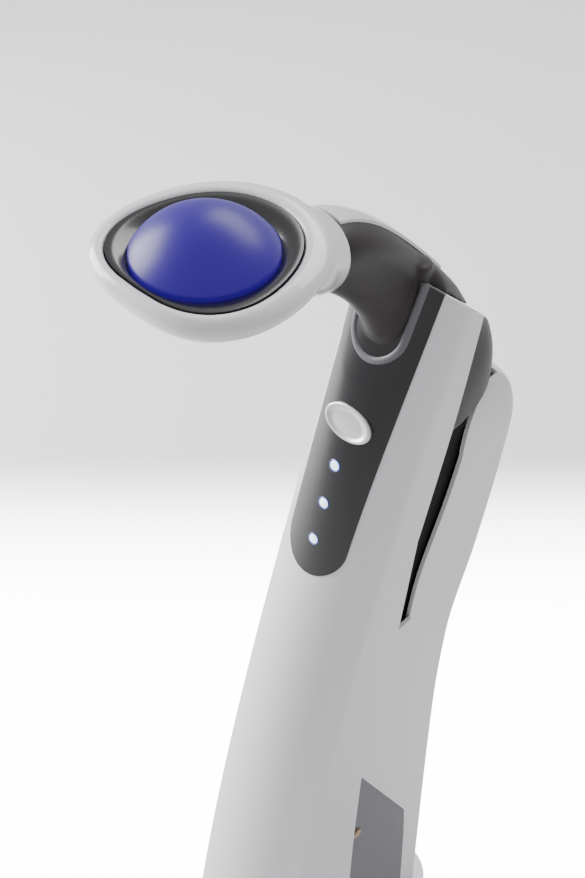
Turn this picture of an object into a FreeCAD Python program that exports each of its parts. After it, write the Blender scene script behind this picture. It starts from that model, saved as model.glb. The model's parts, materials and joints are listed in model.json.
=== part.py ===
import FreeCAD, Part
import Sketcher
import math
import os
from FreeCAD import Placement, Rotation, Vector

# Control arm of a personal mobility vehicle: a leaning arm that carries a
# goose-neck stalk with a lit palm knob.  Millimetres, +Z up, +X to the left
# hand of the rider, the front of the arm faces -Y.  The origin is the middle
# of the foot's underside.  The arm is symmetric about the plane X = 0.

doc = FreeCAD.newDocument("ControlArm")
sheet = doc.addObject("Spreadsheet::Sheet", "Sizes")

# ---------------------------------------------------------------- driving sizes
SIZES = {
    # foot
    "foot_length": 240, "foot_width": 108, "foot_thick": 8, "foot_corner": 30,
    "foot_bolt_radius": 4, "foot_bolt_x": 64, "foot_bolt_y": 160,
    "gasket_thick": 2,
    # arm profile
    "badge_height": 560, "badge_reach": 40, "arm_lean": 19.3, "arm_sweep": 2350,
    "arm_half_width": 33, "foot_half_width": 47, "front_depth": 28,
    "shell_wall": 2.5, "shell_gap": 0.4, "rear_bulge": 12,
    "frame_half_depth": 18, "flange_thick": 6,
    # control panel on the front of the arm
    "panel_half": 20, "panel_bottom": -97, "panel_top": 120,
    "lens_radius": 3.5, "lens_spacing": 24, "first_lens": -26,
    "badge_half_width": 15, "badge_half_height": 9.5, "badge_thick": 1.6,
    "board_length": 84, "board_width": 26, "board_thick": 1.6,
    # stalk pivot
    "pivot_y": 86, "pivot_height": 592, "shaft_radius": 4, "shaft_fit": 0.05,
    "hub_radius": 9, "hub_half": 8, "cheek_thick": 4, "cheek_inner": 15,
    "bush_radius": 6,
    # head and palm knob
    "head_y": -47, "head_height": 714, "bezel_radius": 37, "rim_width": 5.6,
    "dome_radius": 29, "dome_rise": 15.5, "dome_wall": 2.4, "dome_gap": 0.5,
    "knob_travel": 1.5, "pin_radius": 1.5, "pin_circle": 26.4,
    # small hardware
    "wire_radius": 2.2,
}

# Side view of the arm, from the foot upwards: height, the seam behind the
# front shell, the front edge of the rear shell, and the rear shell's back.
STATIONS = {
    "foot": (10, 13, 81, 97),
    "ankle": (130, 16, 80, 98),
    "shin": (275, 26, 63, 100),
    "knee": (350, 34, 61, 106),
    "thigh": (420, 48, 70, 126),
    "hip": (490, 69, 95, 141),
    "waist": (560, 88, 115, 150),
    "shoulder": (670, 108, 145, 178),
}


def fill_sheet():
    row = 1
    cells = dict(SIZES)
    for station, values in STATIONS.items():
        for kind, value in zip(("height", "seam", "edge", "back"), values):
            cells[kind + "_" + station] = value
    for name, value in cells.items():
        sheet.set("A%d" % row, name)
        sheet.set("B%d" % row, str(value))
        sheet.setAlias("B%d" % row, name)
        row += 1
    doc.recompute()


fill_sheet()


def dim(name):
    return float(sheet.get(name))


# ---------------------------------------------------------------- small helpers
parts = []


def keep(obj, label):
    """Marks an object as one finished sub-part."""
    obj.Label = label
    parts.append(obj)
    return obj


def place(x=0.0, y=0.0, z=0.0, axis=(0, 0, 1), turn=0.0):
    return Placement(Vector(x, y, z), Rotation(Vector(*axis), turn))


ALONG_X = ((0, 1, 0), 90)
ALONG_Y = ((1, 0, 0), -90)


def primitive(kind, name, where, **sizes):
    """A Part primitive whose sizes follow expressions on the sheet."""
    obj = doc.addObject(kind, name)
    for key, expression in sizes.items():
        obj.setExpression(key, str(expression))
    obj.Placement = where
    return obj


def box(name, length, width, height, x, y, z):
    """A box centred on x and y, standing on z."""
    obj = primitive("Part::Box", name, place(), Length=length, Width=width, Height=height)
    doc.recompute()
    obj.Placement = place(x - obj.Length.Value / 2, y - obj.Width.Value / 2, z)
    return obj


def rod(name, radius, length, x, y, z, axis=(0, 0, 1), turn=0.0):
    where = place(x, y, z, axis, turn)
    return primitive("Part::Cylinder", name, where, Radius=radius, Height=length)


def cross_rod(name, radius, length, x, y, z):
    """A cylinder along X that is centred on x."""
    obj = rod(name, radius, length, x, y, z, *ALONG_X)
    doc.recompute()
    obj.Placement = place(x - obj.Height.Value / 2, y, z, *ALONG_X)
    return obj


def cut(name, base, *tools):
    result = base
    for number, tool in enumerate(tools):
        step = doc.addObject("Part::Cut", "%s_cut%d" % (name, number))
        step.Base = result
        step.Tool = tool
        result = step
    return result


def fuse(name, *pieces):
    obj = doc.addObject("Part::MultiFuse", name)
    obj.Shapes = list(pieces)
    return obj


def group(name, pieces):
    obj = doc.addObject("Part::Compound", name)
    obj.Links = pieces
    return obj


def shaped(label, shape):
    """A free-form sub-part: its shape is made here from sizes on the sheet."""
    obj = doc.addObject("Part::Feature", label)
    obj.Shape = shape
    return keep(obj, label)


def smooth(points, closed=False):
    curve = Part.BSplineCurve()
    curve.interpolate(Points=points, PeriodicFlag=closed)
    return curve.toShape()


def loft(wires):
    return Part.makeLoft(wires, True, False)


def mirrored(shape):
    return shape.mirror(Vector(0, 0, 0), Vector(1, 0, 0))


# ---------------------------------------------------------------- arm outline
LEAN = math.radians(dim("arm_lean"))
UP_ARM = Vector(0, math.sin(LEAN), math.cos(LEAN))
OUT_ARM = Vector(0, -math.cos(LEAN), math.sin(LEAN))
BADGE = Vector(0, dim("badge_reach"), dim("badge_height"))
FOOT_TOP = dim("foot_thick") + dim("gasket_thick")
CABLE_X = 0.0
CABLE_Y = -52.0
FRAME_BOLTS = [(x, y) for x in (-30, 30) for y in (-20, 46)]
SPACER_HEIGHTS = (60.0, 200.0, 330.0, 460.0)
RIB_HEIGHTS = (50.0, 220.0, 380.0)
SIDE_STUD_Y = 24.0
SIDE_STUD_Z = 196.0
CHEEK_INNER = dim("cheek_inner")
CHEEK_OUTER = CHEEK_INNER + dim("cheek_thick")
PIVOT_Y = dim("pivot_y")
PIVOT_Z = dim("pivot_height")

HEIGHTS = [dim("height_" + n) for n in STATIONS]
LINES = {kind: [dim(kind + "_" + n) for n in STATIONS] for kind in ("seam", "edge", "back")}


def steepness(values, number):
    """Slope of a side-view line at a station, without overshoot."""
    steps = []
    for low in (number - 1, number):
        low = min(max(low, 0), len(HEIGHTS) - 2)
        rise = values[low + 1] - values[low]
        steps.append(rise / (HEIGHTS[low + 1] - HEIGHTS[low]))
    if steps[0] * steps[1] <= 0:
        return 0.0
    return 2 * steps[0] * steps[1] / (steps[0] + steps[1])


def station_value(kind, z):
    """Reads a side-view line at a height: a smooth cubic through the stations."""
    values = LINES[kind]
    low = 0
    while low < len(HEIGHTS) - 2 and z > HEIGHTS[low + 1]:
        low += 1
    span = HEIGHTS[low + 1] - HEIGHTS[low]
    share = (z - HEIGHTS[low]) / span
    rest = 1 - share
    start = values[low] * (1 + 2 * share) * rest ** 2
    end = values[low + 1] * (1 + 2 * rest) * share ** 2
    start_turn = span * steepness(values, low) * share * rest ** 2
    end_turn = span * steepness(values, low + 1) * rest * share ** 2
    return start + end + start_turn - end_turn


def front_y(z):
    drop = dim("badge_height") - z
    return dim("badge_reach") - drop * math.tan(LEAN) + drop * drop / (2 * dim("arm_sweep"))


def half_width(z):
    full_drop = dim("badge_height") - dim("height_foot")
    share = max(0.0, dim("badge_height") - z) / full_drop
    grow = dim("foot_half_width") - dim("arm_half_width")
    return dim("arm_half_width") + grow * share ** 1.5


def arch(z, half, tip, spring, end, steps=6):
    """Section wire: a half ellipse from its tip to the springing line, then
    straight flanks to the end, closed by a straight edge."""
    points = [Vector(-half, end, z)]
    points.append(Vector(-half, (end + spring) / 2, z))
    for step in range(-steps, steps + 1):
        angle = math.radians(90.0 * step / steps)
        y = spring + (tip - spring) * math.cos(angle)
        points.append(Vector(half * math.sin(angle), y, z))
    points.append(Vector(half, (end + spring) / 2, z))
    points.append(Vector(half, end, z))
    closing = Part.LineSegment(points[-1], points[0]).toShape()
    return Part.Wire([smooth(points), closing])


SECTION_COUNT = 19
SECTION_STEP = (HEIGHTS[-1] - HEIGHTS[0]) / (SECTION_COUNT - 1)
SECTIONS = [HEIGHTS[0] + SECTION_STEP * n for n in range(SECTION_COUNT)]


def front_solid(grow=0.0, back=0.0):
    """Solid bounded by the front shell's skin, moved out by grow, whose back
    face stands back behind the seam."""
    wires = []
    for z in SECTIONS:
        tip = front_y(z) - grow
        spring = front_y(z) + dim("front_depth")
        end = station_value("seam", z) + back
        wires.append(arch(z, half_width(z) + grow, tip, spring, end))
    return loft(wires)


def rear_half(z):
    return half_width(z) - 3.0


def rear_solid(grow=0.0, forward=0.0):
    wires = []
    for z in SECTIONS:
        back = station_value("back", z)
        edge = station_value("edge", z) - forward
        tip = back + dim("rear_bulge") + grow
        wires.append(arch(z, rear_half(z) + grow, tip, back, edge))
    return loft(wires)


def band_solid(inset, start_inset, end_inset, low, high):
    """Solid between the seam and the rear shell's edge, inset from the flank."""
    wires = []
    levels = [low] + [z for z in SECTIONS if low < z < high] + [high]
    for z in levels:
        half = half_width(z) - inset
        near = station_value("seam", z) + start_inset
        far = station_value("edge", z) - end_inset
        corners = [Vector(-half, near, z), Vector(half, near, z)]
        corners += [Vector(half, far, z), Vector(-half, far, z)]
        wires.append(Part.makePolygon(corners + corners[:1]))
    return Part.makeLoft(wires, True, True)


def slab(low, high, reach=400):
    """Everything between two heights."""
    return Part.makeBox(2 * reach, 2 * reach, high - low, Vector(-reach, -reach, low))


def beyond(point, normal, reach=400):
    """Half space on the normal's side of a plane across X."""
    normal = Vector(normal)
    normal.normalize()
    block = Part.makeBox(2 * reach, 2 * reach, reach, Vector(-reach, -reach, 0))
    block.Placement = Placement(point, Rotation(Vector(0, 0, 1), normal))
    return block


def u_prism(bottom, half_low, half_top, inward=-45.0, outward=30.0):
    """A tongue shape in the panel plane, with a round lower end, cut through
    the front of the arm.  Heights run up the arm from the badge."""
    top = dim("panel_top")
    centre = bottom + half_low

    def spot(x, up):
        return BADGE + Vector(x, 0, 0) + UP_ARM * up + OUT_ARM * inward

    arc = Part.Arc(spot(-half_low, centre), spot(0, bottom), spot(half_low, centre))
    corners = [spot(half_low, centre), spot(half_top, top), spot(-half_top, top)]
    sides = Part.makePolygon(corners + [spot(-half_low, centre)])
    wire = Part.Wire([arc.toShape()] + sides.Edges)
    return Part.Face(wire).extrude(OUT_ARM * (outward - inward))


# The arm's top is cut on a slope that falls to the rear.
SHOULDER_POINT = Vector(0, 79, 632)
SHOULDER_NORMAL = Vector(0, 0.687, 0.725)
above_shoulder = beyond(SHOULDER_POINT, SHOULDER_NORMAL)

# ---------------------------------------------------------------- front of the arm
wall = dim("shell_wall")
gap = dim("shell_gap")
panel_zone = u_prism(dim("panel_bottom"), dim("panel_half"), dim("panel_half") + 0.5)
panel_cutout = u_prism(dim("panel_bottom") - gap, dim("panel_half") + gap,
                       dim("panel_half") + 0.5 + gap)
COLLAR_BOTTOM = 21.0
LIP_BOTTOM = 35.0
LOBE_BOTTOM = 42.0
collar_zone = u_prism(COLLAR_BOTTOM, dim("panel_half"), dim("panel_half") + 0.5)
lip_zone = u_prism(LIP_BOTTOM, 15.0, 15.6)
lobe_zone = u_prism(LOBE_BOTTOM, 11.5, 15.0)
skin = front_solid()
skin_inner = front_solid(-wall, 5)


def front_patch(outset, depth, zone):
    """A piece of the front skin inside a zone, standing out by outset."""
    return front_solid(outset).cut(front_solid(-depth, 5)).common(zone)


def make_front_shell():
    shell = skin.cut(skin_inner).cut(panel_cutout).cut(above_shoulder)
    shaped("front_shell", shell)


def lens_centre(number):
    up = dim("first_lens") - number * dim("lens_spacing")
    return BADGE + UP_ARM * up


def lens_bore(number, radius):
    start = lens_centre(number) + OUT_ARM * -20
    return Part.makeCylinder(radius, 40, start, OUT_ARM)


def oval(half_x, half_up, start, length):
    """An oval plug square to the badge plane."""
    ellipse = Part.Ellipse(Vector(0, 0, 0), half_x, half_up)
    face = Part.Face(Part.Wire(ellipse.toShape()))
    plug = face.extrude(Vector(0, 0, length))
    plug.Placement = Placement(BADGE + OUT_ARM * start, Rotation(Vector(0, 0, 1), OUT_ARM))
    return plug


def make_control_panel():
    panel = front_patch(0.6, wall, panel_zone).cut(collar_zone).cut(above_shoulder)
    panel = panel.cut(oval(dim("badge_half_width") + 0.1, dim("badge_half_height") + 0.1, -0.6, 9))
    for number in range(3):
        panel = panel.cut(lens_bore(number, dim("lens_radius") + 0.1))
    shaped("control_panel", panel)
    outer = u_prism(dim("panel_bottom") - 2, dim("panel_half") + 2, dim("panel_half") + 2.5)
    inner = u_prism(dim("panel_bottom") + 3, dim("panel_half") - 3, dim("panel_half") - 2.5)
    ring = front_solid(-wall - 0.05).cut(front_solid(-wall - 1.2, 5)).common(outer).cut(inner)
    shaped("panel_gasket", ring.cut(collar_zone).cut(above_shoulder))


def make_socket():
    collar = front_patch(1.4, wall, collar_zone).cut(lip_zone).cut(above_shoulder)
    shaped("socket_collar", collar)
    lip = front_patch(2.0, 5.0, lip_zone).cut(lobe_zone).cut(above_shoulder)
    shaped("socket_lip", max(lip.Solids, key=lambda s: s.Volume))


def make_emblem():
    plate = oval(dim("badge_half_width"), dim("badge_half_height"), -0.5, dim("badge_thick"))
    hollow = oval(dim("badge_half_width") - 2.2, dim("badge_half_height") - 2.2, 0.5, 3)
    shaped("emblem_plate", plate.cut(hollow))


LENS_NAMES = ("status_lens_upper", "status_lens_middle", "status_lens_lower")


def make_lenses():
    for number, name in enumerate(LENS_NAMES):
        start = lens_centre(number) + OUT_ARM * -5.2
        pipe = Part.makeCylinder(dim("lens_radius"), 6.3, start, OUT_ARM)
        flange = Part.makeCylinder(dim("lens_radius") + 1, 1.0, start, OUT_ARM)
        shaped(name, pipe.fuse(flange).removeSplitter())


# ---------------------------------------------------------------- rear of the arm
LOBE_Y = 129.0
LOBE_Z = 523.0
LOBE_RADIUS = 25.0


def lobe_limit(radius):
    """Everything under the rear shell's round top."""
    top = Part.makeCylinder(radius, 120, Vector(-60, LOBE_Y, LOBE_Z), Vector(1, 0, 0))
    return slab(-10, LOBE_Z).fuse(top)


def rear_skin():
    outer = rear_solid().common(lobe_limit(LOBE_RADIUS))
    inner = rear_solid(-wall, 6).common(lobe_limit(LOBE_RADIUS - wall))
    return outer.cut(inner)


rear_wall = rear_skin()


def screw_seat(z):
    """Floor of the recess that a rear screw's head sits in."""
    return station_value("back", z) + dim("rear_bulge") - 0.9


def make_rear_shell():
    shell = rear_wall
    for z in SPACER_HEIGHTS:
        shell = shell.cut(Part.makeCylinder(2.2, 200, Vector(0, 60, z), Vector(0, 1, 0)))
        recess = Part.makeCylinder(4.1, 20, Vector(0, screw_seat(z), z), Vector(0, 1, 0))
        shell = shell.cut(recess)
    shaped("rear_shell", shell)


def make_slot_liner():
    low, high = 232.0, 538.0
    tube = band_solid(7.0, -6.0, -6.0, low, high)
    bore = band_solid(9.0, -4.0, -4.0, low, high)
    frame_room = frame_loft(CHEEK_OUTER + 0.3, dim("frame_half_depth") + 0.3, low - 5, high + 5)
    liner = tube.cut(bore).cut(frame_room)
    for z in SPACER_HEIGHTS:
        liner = liner.cut(Part.makeCylinder(5.3, 200, Vector(0, 40, z), Vector(0, 1, 0)))
    top_room = Part.makeCylinder(LOBE_RADIUS + 0.3, 120, Vector(-60, LOBE_Y, LOBE_Z), Vector(1, 0, 0))
    liner = liner.cut(top_room.common(slab(LOBE_Z - 0.3, high + 5))).cut(rear_wall)
    shaped("slot_liner", max(liner.Solids, key=lambda s: s.Volume))


SHOULDER_TIPS = ((528, 142), (565, 136), (590, 127), (612, 115), (650, 92))


def shoulder_solid(inset, low_extra=0.0):
    wires = []
    for number, (z, tip) in enumerate(SHOULDER_TIPS):
        height = z - low_extra if number == 0 else z
        end = station_value("seam", z) - 7.0
        spring = min(tip - 22.0, end + 26.0)
        wires.append(arch(height, 30.6 - inset, tip - inset, max(spring, end + 4.0), end))
    return loft(wires)


def make_shoulder_skin():
    outer = shoulder_solid(0.0)
    outer = outer.cut(above_shoulder).cut(slab(400, 540))
    inner = shoulder_solid(3.0, 5.0)
    front_opening = Part.makeBox(80, 60, 200, Vector(-40, 20, 500))
    rear_room = rear_solid(0.3, 1.0).common(lobe_limit(LOBE_RADIUS + 0.3))
    cover = outer.cut(inner).cut(front_opening).cut(front_solid(-wall + 0.02, 0).cut(inner))
    cover = cover.cut(rear_room)
    shaped("shoulder_skin", max(cover.Solids, key=lambda s: s.Volume))


WEB_TIP = Vector(0, 67, 484)
WEB_REAR_NORMAL = Vector(0, -84, 13)
WEB_SPREAD = 402.0
WEB_FOOT = Vector(0, 18, 287)
WEB_FOOT_NORMAL = Vector(0, 108, 50)


def flank_piece(outer_inset, inner_inset, low, high):
    """The +X flank plate between the seam and the rear shell's edge."""
    plate = band_solid(outer_inset, 0.5, 0.5, low, high)
    plate = plate.cut(band_solid(inner_inset, -4, -4, low, high))
    return plate.common(Part.makeBox(200, 400, 900, Vector(0, -200, 0)))


def make_flank_plates():
    slot_wedge = beyond(WEB_TIP, WEB_REAR_NORMAL * -1).common(slab(WEB_SPREAD, 600))
    foot_plane = beyond(WEB_FOOT, WEB_FOOT_NORMAL)
    web = flank_piece(1.0, 3.5, 150, 484).cut(slot_wedge).common(foot_plane)
    shaped("side_web_left", web)
    shaped("side_web_right", mirrored(web))
    low_plane = beyond(WEB_FOOT - Vector(0, 0, 0.6), WEB_FOOT_NORMAL * -1)
    panel = flank_piece(2.4, 4.9, FOOT_TOP, 300).common(low_plane)
    stud_hole = Part.makeCylinder(3.2, 120, Vector(0, SIDE_STUD_Y, SIDE_STUD_Z), Vector(1, 0, 0))
    panel = panel.cut(stud_hole)
    shaped("side_panel_left", panel)
    shaped("side_panel_right", mirrored(panel))


# ---------------------------------------------------------------- frame inside the arm
FRAME_TOP = 556.0


def frame_section(z, half_x, half_y):
    middle = station_value("seam", z)
    corners = [Vector(-half_x, middle - half_y, z), Vector(half_x, middle - half_y, z)]
    corners += [Vector(half_x, middle + half_y, z), Vector(-half_x, middle + half_y, z)]
    return Part.makePolygon(corners + corners[:1])


def frame_loft(half_x, half_y, low, high):
    levels = [low] + [z for z in SECTIONS if low < z < high] + [high]
    return Part.makeLoft([frame_section(z, half_x, half_y) for z in levels], True, True)


def make_arm_frame():
    depth = dim("frame_half_depth")
    thick = dim("cheek_thick")
    tube = frame_loft(CHEEK_OUTER, depth, FOOT_TOP, FRAME_TOP)
    bore = frame_loft(CHEEK_INNER, depth - thick, FOOT_TOP, FRAME_TOP)
    flange = Part.makeBox(76, 84, dim("flange_thick"), Vector(-38, -29, FOOT_TOP))
    frame = tube.fuse(flange).cut(bore)
    for side in (-1, 1):
        start = CHEEK_INNER if side > 0 else -CHEEK_OUTER
        cheek = Part.makeBox(thick, 18, PIVOT_Z - 540, Vector(start, PIVOT_Y - 9, 540))
        boss = Part.makeCylinder(9, thick, Vector(start, PIVOT_Y, PIVOT_Z), Vector(1, 0, 0))
        frame = frame.fuse(cheek).fuse(boss)
    bores = Part.makeCylinder(dim("bush_radius"), 60, Vector(-30, PIVOT_Y, PIVOT_Z), Vector(1, 0, 0))
    frame = frame.cut(bores)
    for x, y in FRAME_BOLTS:
        frame = frame.cut(Part.makeCylinder(3.3, 40, Vector(x, y, 0)))
    for z in SPACER_HEIGHTS:
        hole = Part.makeCylinder(2.2, 60, Vector(0, station_value("seam", z), z), Vector(0, 1, 0))
        frame = frame.cut(hole)
    shaped("arm_frame", frame.removeSplitter())


def make_foot():
    body = doc.addObject("PartDesign::Body", "FootPlate")
    sketch = body.newObject("Sketcher::SketchObject", "FootOutline")
    plane = [f for f in body.Origin.OriginFeatures if f.Role == "XY_Plane"][0]
    sketch.AttachmentSupport = (plane, [""])
    sketch.MapMode = "FlatFace"
    half_x = dim("foot_width") / 2
    half_y = dim("foot_length") / 2
    corners = [Vector(-half_x, -half_y, 0), Vector(half_x, -half_y, 0)]
    corners += [Vector(half_x, half_y, 0), Vector(-half_x, half_y, 0)]
    for number in range(4):
        line = Part.LineSegment(corners[number], corners[(number + 1) % 4])
        sketch.addGeometry(line, False)
    for number in range(4):
        follower = (number + 1) % 4
        sketch.addConstraint(Sketcher.Constraint("Coincident", number, 2, follower, 1))
    for number in (0, 2):
        sketch.addConstraint(Sketcher.Constraint("Horizontal", number))
    for number in (1, 3):
        sketch.addConstraint(Sketcher.Constraint("Vertical", number))
    sketch.addConstraint(Sketcher.Constraint("Symmetric", 0, 1, 2, 1, -1, 1))
    wide = sketch.addConstraint(Sketcher.Constraint("DistanceX", 0, 1, 0, 2, 2 * half_x))
    deep = sketch.addConstraint(Sketcher.Constraint("DistanceY", 1, 1, 1, 2, 2 * half_y))
    sketch.setExpression("Constraints[%d]" % wide, "Sizes.foot_width")
    sketch.setExpression("Constraints[%d]" % deep, "Sizes.foot_length")
    pad = body.newObject("PartDesign::Pad", "FootPad")
    pad.Profile = sketch
    pad.setExpression("Length", "Sizes.foot_thick")
    doc.recompute()
    uprights = []
    for number, edge in enumerate(pad.Shape.Edges):
        ends = [v.Point for v in edge.Vertexes]
        if abs(ends[0].z - ends[1].z) > 1:
            uprights.append("Edge%d" % (number + 1))
    rounding = body.newObject("PartDesign::Fillet", "FootCorners")
    rounding.Base = (pad, uprights)
    rounding.setExpression("Radius", "Sizes.foot_corner")
    body.Tip = rounding
    doc.recompute()
    body.Placement = place(0, 0, dim("gasket_thick"))
    tools = mount_holes("FootHole", dim("foot_thick") + 10)
    tools.append(box("FootCableHole", 16, 12, 40, CABLE_X, CABLE_Y, -5))
    for number, (x, y) in enumerate(FRAME_BOLTS):
        tools.append(rod("FootTap%d" % number, 2.5, 30, x, y, -5))
    keep(cut("FootPlateDone", body, *tools), "foot_plate")

    mat = box("MatBlank", "Sizes.foot_width - 4", "Sizes.foot_length - 4",
              "Sizes.gasket_thick", 0, 0, 0)
    rounded = doc.addObject("Part::Fillet", "MatRound")
    rounded.Base = mat
    doc.recompute()
    chosen = []
    for number, edge in enumerate(mat.Shape.Edges):
        ends = [v.Point for v in edge.Vertexes]
        if abs(ends[0].z - ends[1].z) > 1:
            chosen.append((number + 1, dim("foot_corner") - 2, dim("foot_corner") - 2))
    rounded.Edges = chosen
    mat_tools = mount_holes("MatHole", 20)
    mat_tools.append(box("MatCableHole", 18, 14, 40, CABLE_X, CABLE_Y, -5))
    keep(cut("MatDone", rounded, *mat_tools), "foot_gasket")


def mount_holes(name, length):
    holes = []
    for number, (sx, sy) in enumerate(((-1, -1), (1, -1), (1, 1), (-1, 1))):
        x = sx * dim("foot_bolt_x") / 2
        y = sy * dim("foot_bolt_y") / 2
        holes.append(rod("%s%d" % (name, number), "Sizes.foot_bolt_radius", length, x, y, -5))
    return holes


def cap_screw(name, radius, length, head_radius, head_height, x, y, z):
    """Upright screw whose head sits on z, with a hexagon socket."""
    shank = rod(name + "Shank", radius, length, x, y, z - length)
    head = rod(name + "Head", head_radius, head_height, x, y, z)
    socket = primitive("Part::Prism", name + "Socket", place(x, y, z + head_height / 2),
                       Polygon=6, Circumradius=radius * 0.8, Height=head_height)
    return cut(name, fuse(name + "Blank", shank, head), socket)


def make_frame_bolts():
    top = FOOT_TOP + dim("flange_thick")
    screws = []
    for number, (x, y) in enumerate(FRAME_BOLTS):
        screws.append(cap_screw("FrameBolt%d" % number, 2.5, 12, 5, 5, x, y, top))
    keep(group("FrameBolts", screws), "frame_bolts")


RIB_DEPTH = 16.0


def make_ribs():
    """Cross ribs that carry the front shell on the frame."""
    inside = front_solid(-wall - 0.02, 0)
    ribs = []
    for z in RIB_HEIGHTS:
        front = station_value("seam", z) - dim("frame_half_depth")
        blank = Part.makeBox(120, RIB_DEPTH, 4, Vector(-60, front - RIB_DEPTH - 0.2, z))
        ribs.append(blank.common(inside))
    shaped("front_ribs", Part.makeCompound(ribs))


def make_rear_spacers():
    spacers = []
    screws = []
    frame_block = frame_loft(CHEEK_OUTER, dim("frame_half_depth"), FOOT_TOP, FRAME_TOP)
    for z in SPACER_HEIGHTS:
        start = station_value("seam", z) + dim("frame_half_depth")
        probe = Part.makeCylinder(5, 200, Vector(0, start - 3, z), Vector(0, 1, 0))
        hole = Part.makeCylinder(2.2, 200, Vector(0, start - 3, z), Vector(0, 1, 0))
        pieces = probe.cut(frame_block).cut(rear_wall).Solids
        pieces = sorted(pieces, key=lambda s: s.BoundBox.YMin)
        spacers.append(pieces[0].cut(hole))
        skin_y = screw_seat(z)
        shank = Part.makeCylinder(2, skin_y - start + 4.5, Vector(0, start - 4, z), Vector(0, 1, 0))
        head = Part.makeCylinder(3.8, 2.4, Vector(0, skin_y, z), Vector(0, 1, 0))
        slot = Part.makeBox(6, 1.2, 1.2, Vector(-3, skin_y + 1.4, z - 0.6))
        screws.append(shank.fuse(head).cut(slot))
    shaped("rear_spacers", Part.makeCompound(spacers))
    shaped("rear_screws", Part.makeCompound(screws))


def make_side_studs():
    studs = []
    for side in (-1, 1):
        outer = half_width(SIDE_STUD_Z) - 1.6
        inner = CHEEK_OUTER + 0.1
        start = Vector(side * inner, SIDE_STUD_Y, SIDE_STUD_Z)
        direction = Vector(side, 0, 0)
        pin = Part.makeCylinder(2.4, outer - inner, start, direction)
        cap_start = Vector(side * (outer - 0.4), SIDE_STUD_Y, SIDE_STUD_Z)
        cap = Part.makeCylinder(4.0, 1.2, cap_start, direction)
        studs.append(pin.fuse(cap))
    shaped("side_studs", Part.makeCompound(studs))


# ---------------------------------------------------------------- electronics in the arm
def panel_box(length_x, length_up, thick, up, out):
    """A box square to the badge plane: centred across, starting at up and out."""
    block = Part.makeBox(length_x, length_up, thick, Vector(-length_x / 2, 0, 0))
    turn = Rotation(Vector(1, 0, 0), UP_ARM, OUT_ARM, "XYZ")
    block.Placement = Placement(BADGE + UP_ARM * up + OUT_ARM * out, turn)
    return block


BOARD_OUT = -10.0
BOARD_BOTTOM = -92.0


def make_indicator_board():
    board = panel_box(dim("board_width"), dim("board_length"), dim("board_thick"),
                      BOARD_BOTTOM, BOARD_OUT)
    spots = [(x, up) for x in (-10, 10) for up in (BOARD_BOTTOM + 4, BOARD_BOTTOM + 80)]
    spacers = []
    screws = []
    for x, up in spots:
        start = BADGE + Vector(x, 0, 0) + UP_ARM * up
        board = board.cut(Part.makeCylinder(1.3, 20, start + OUT_ARM * (BOARD_OUT - 5), OUT_ARM))
        low = start + OUT_ARM * (BOARD_OUT - 4)
        spacers.append(Part.makeCylinder(2.4, 4, low, OUT_ARM).cut(
            Part.makeCylinder(1.3, 4, low, OUT_ARM)))
        shank = Part.makeCylinder(1.2, 7.6, low + OUT_ARM * -2, OUT_ARM)
        head = Part.makeCylinder(2.2, 1.4, start + OUT_ARM * (BOARD_OUT + 1.6), OUT_ARM)
        screws.append(shank.fuse(head))
    shaped("indicator_board", board)
    shaped("board_spacers", Part.makeCompound(spacers))
    shaped("board_screws", Part.makeCompound(screws))
    chips = []
    for number in range(3):
        up = dim("first_lens") - number * dim("lens_spacing")
        chips.append(panel_box(3.2, 3.2, 1.2, up - 1.6, BOARD_OUT + dim("board_thick")))
    shaped("status_leds", Part.makeCompound(chips))
    processor = panel_box(9, 9, 1.6, BOARD_BOTTOM + 70, BOARD_OUT + dim("board_thick"))
    shaped("board_processor", processor)


BRACKET_OUT = BOARD_OUT - 6.0


def make_board_bracket():
    plate = panel_box(26, 84, 2, BOARD_BOTTOM, BRACKET_OUT)
    z = 496.0
    up = (z - BADGE.z - BRACKET_OUT * OUT_ARM.z) / UP_ARM.z
    start_y = (BADGE + UP_ARM * up + OUT_ARM * BRACKET_OUT).y
    frame_front = station_value("seam", z + 2) - dim("frame_half_depth")
    arm = Part.makeBox(16, frame_front - start_y + 0.6, 4, Vector(-8, start_y - 1.0, z))
    frame_room = frame_loft(CHEEK_OUTER + 0.02, dim("frame_half_depth") + 0.02, 450, 540)
    bracket = plate.fuse(arm).cut(frame_room)
    for x in (-10, 10):
        for up_hole in (BOARD_BOTTOM + 4, BOARD_BOTTOM + 80):
            start = BADGE + Vector(x, 0, 0) + UP_ARM * up_hole + OUT_ARM * (BRACKET_OUT - 2)
            bracket = bracket.cut(Part.makeCylinder(1.25, 6, start, OUT_ARM))
    shaped("board_bracket", bracket)


def rounded_path(points):
    """Straight runs joined by tangent arcs, each as large as its runs allow."""
    edges = []
    start = points[0]
    for number in range(1, len(points) - 1):
        corner = points[number]
        before = (corner - points[number - 1])
        after = (points[number + 1] - corner)
        reach = 0.45 * min(before.Length, after.Length)
        into = Vector(before)
        into.normalize()
        out = Vector(after)
        out.normalize()
        half_turn = into.getAngle(out) / 2
        radius = reach / math.tan(half_turn)
        first = corner - into * reach
        last = corner + out * reach
        inward = out - into
        inward.normalize()
        middle = corner + inward * (radius / math.cos(half_turn) - radius)
        edges.append(Part.LineSegment(start, first).toShape())
        edges.append(Part.Arc(first, middle, last).toShape())
        start = last
    edges.append(Part.LineSegment(start, points[-1]).toShape())
    return Part.Wire(edges)


def tube_along(points, radius):
    path = rounded_path(points)
    direction = points[1] - points[0]
    ring = Part.Wire(Part.makeCircle(radius, points[0], direction))
    return path.makePipeShell([ring], True, True)


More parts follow.
